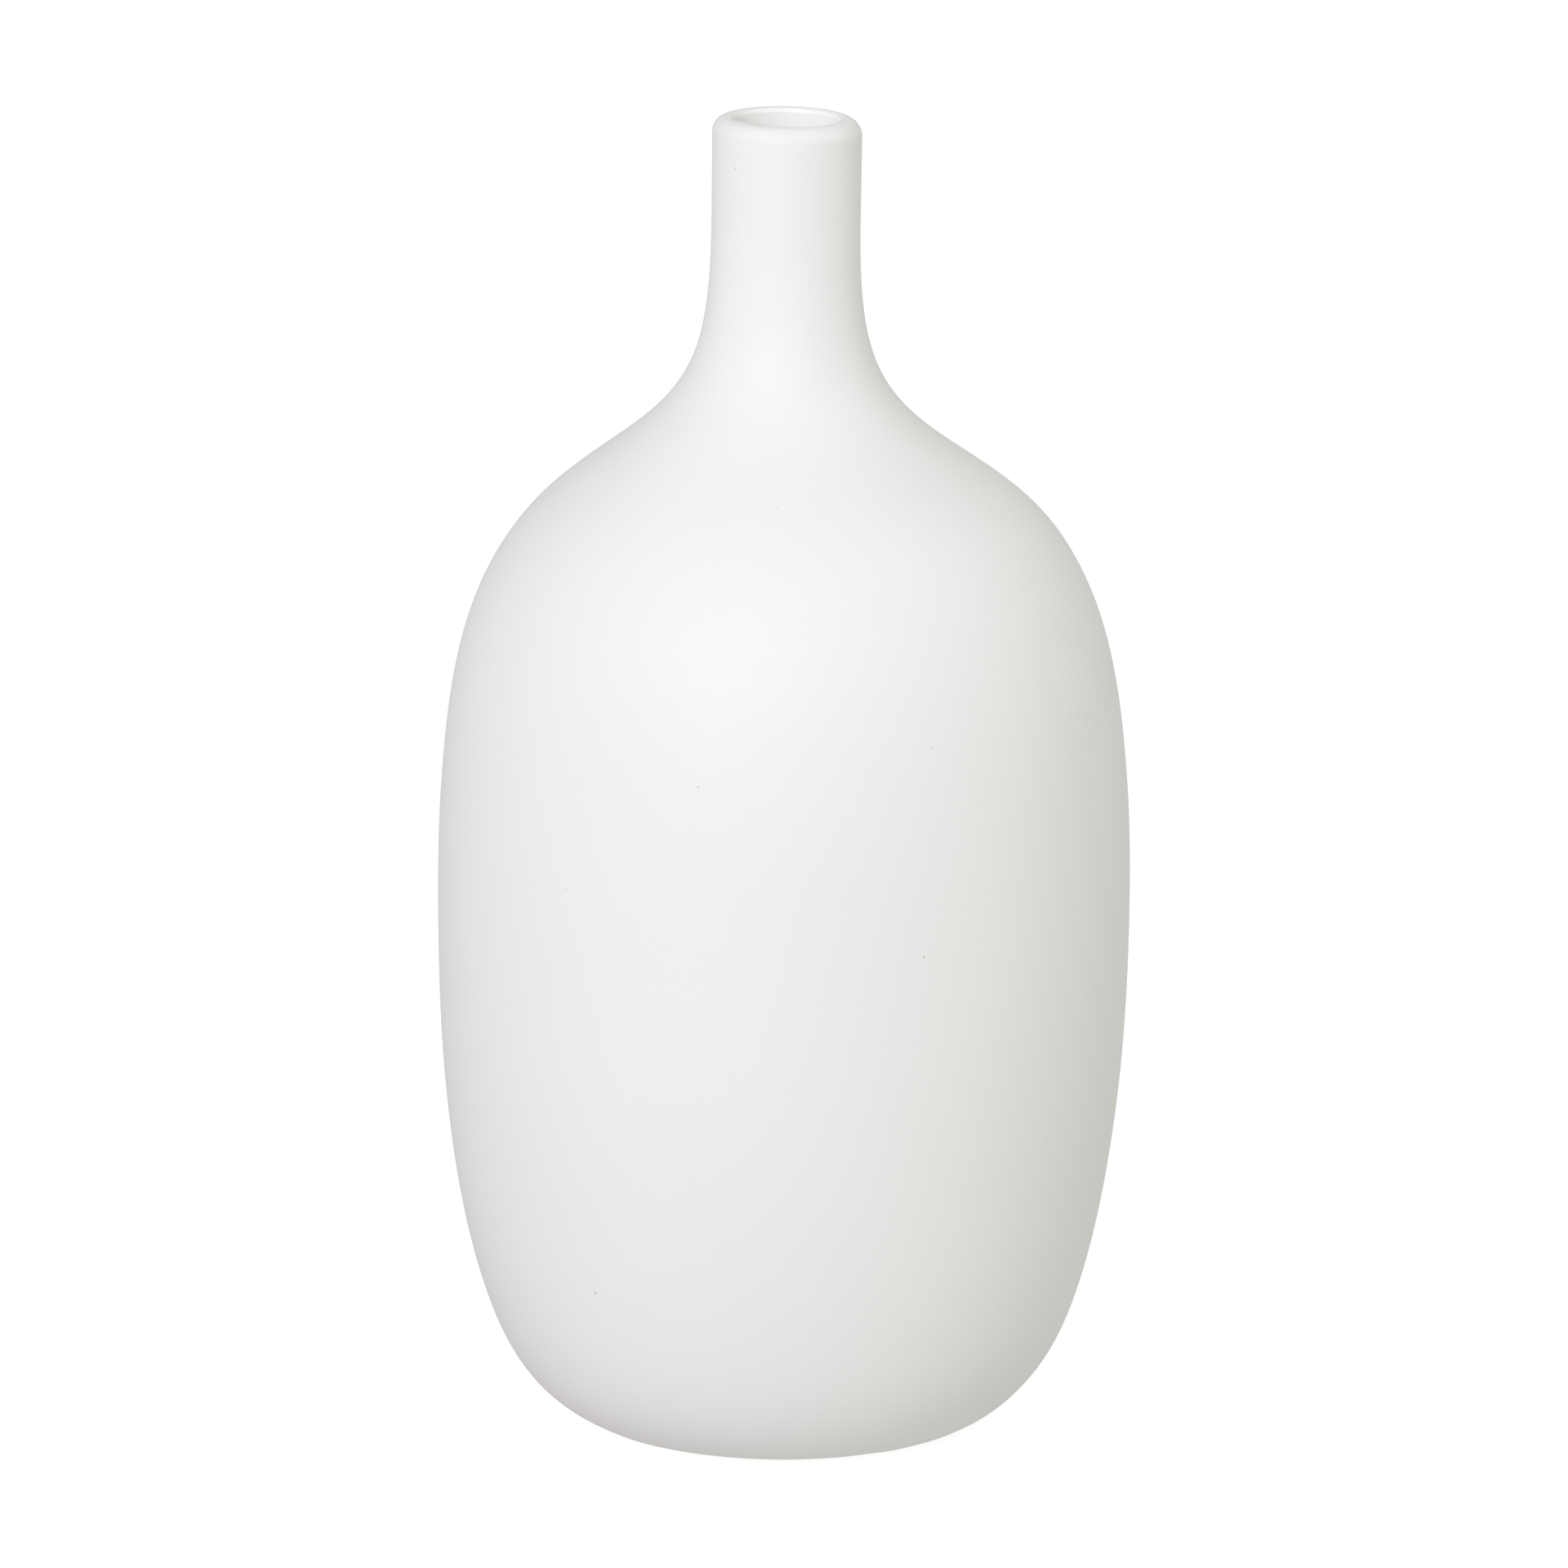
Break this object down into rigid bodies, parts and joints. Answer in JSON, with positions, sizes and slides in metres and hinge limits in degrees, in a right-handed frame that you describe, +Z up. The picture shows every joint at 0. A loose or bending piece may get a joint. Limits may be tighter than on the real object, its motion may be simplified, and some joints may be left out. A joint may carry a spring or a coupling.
{
  "type": "bud vase",
  "caption": "Bottle-shaped ceramic bud vase: a full belly that draws into a slim neck with a rounded lip, standing on a bare clay foot ring.",
  "frame": {"origin": "centre of the foot, on the table it stands on", "axes": "+Z up along the vase's axis, out of the mouth; the vase is the same all round, so X and Y are free"},
  "size_m": [0.1102, 0.1102, 0.21],
  "materials": {
    "bare_clay": "matte",
    "matte_white_glaze": "matte",
    "gloss_white_glaze": "gloss"
  },
  "bodies": {
    "root": {"clay_body": "bare_clay", "outer_matte_glaze": "matte_white_glaze", "inner_gloss_glaze": "gloss_white_glaze"}
  },
  "joints": []
}
